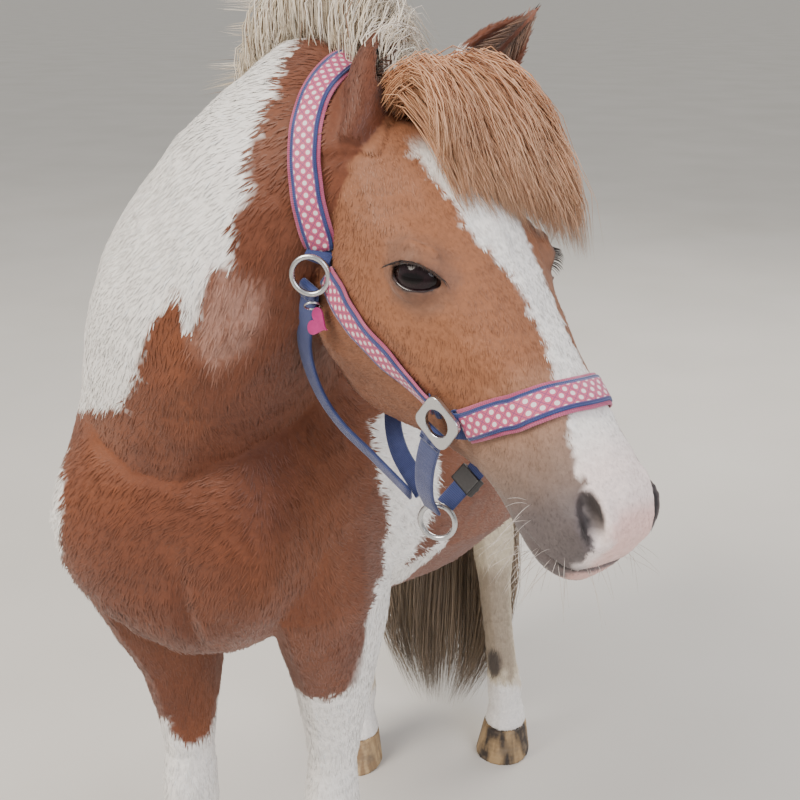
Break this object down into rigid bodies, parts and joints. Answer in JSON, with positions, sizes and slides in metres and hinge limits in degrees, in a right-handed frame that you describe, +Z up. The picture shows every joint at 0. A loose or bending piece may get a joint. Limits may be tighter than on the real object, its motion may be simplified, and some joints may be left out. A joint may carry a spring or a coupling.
{
  "type": "shetland pony",
  "caption": "Skewbald Shetland pony standing with its head turned to its left, long mane and tail, wearing a webbing halter.",
  "frame": {"origin": "on the floor, under the middle of the bounding box", "axes": "-Y is the way the body faces, +X is the pony's left, +Z up"},
  "size_m": [0.7332, 1.1486, 1.2452],
  "materials": {
    "coat_chestnut": "short chestnut horse hair over skin",
    "coat_white": "short white horse hair over skin",
    "hair_mane": "long cream-white horse hair",
    "hair_forelock": "long sorrel horse hair",
    "hair_tail": "long grey-brown and flaxen horse hair",
    "horn": "hoof horn, worn",
    "eye": "wet dark eyeball",
    "webbing": "navy woven webbing",
    "ribbon": "pink patterned ribbon on padded webbing",
    "steel": "nickel-plated steel",
    "plastic": "black moulded plastic",
    "tag_enamel": "magenta enamel"
  },
  "bodies": {
    "root": {"head": "coat_chestnut", "ear_left": "coat_chestnut", "eye_left": "eye", "ear_right": "coat_chestnut", "eye_right": "eye", "foreleg_upper_left": "coat_chestnut", "foreleg_lower_left": "coat_white", "hindleg_upper_left": "coat_chestnut", "hindleg_lower_left": "coat_white", "foreleg_upper_right": "coat_chestnut", "foreleg_lower_right": "coat_white", "hindleg_upper_right": "coat_chestnut", "hindleg_lower_right": "coat_white", "neck": "coat_chestnut", "torso": "coat_chestnut", "hoof_fore_left": "horn", "hoof_hind_left": "horn", "hoof_fore_right": "horn", "hoof_hind_right": "horn", "halter_buckle": "plastic", "halter_ring_upper_left": "steel", "halter_ring_lower_left": "steel", "halter_ring_upper_right": "steel", "halter_ring_lower_right": "steel", "halter_ring_chin": "steel", "halter_cheek_left": "ribbon", "halter_throat_left": "webbing", "halter_jaw_left": "webbing", "halter_cheek_right": "ribbon", "halter_throat_right": "webbing", "halter_jaw_right": "webbing", "halter_crown": "ribbon", "halter_noseband": "ribbon", "halter_tag": "tag_enamel", "mane_lower": "hair_mane", "mane_upper": "hair_mane", "forelock": "hair_forelock", "tail": "hair_tail"}
  },
  "joints": []
}
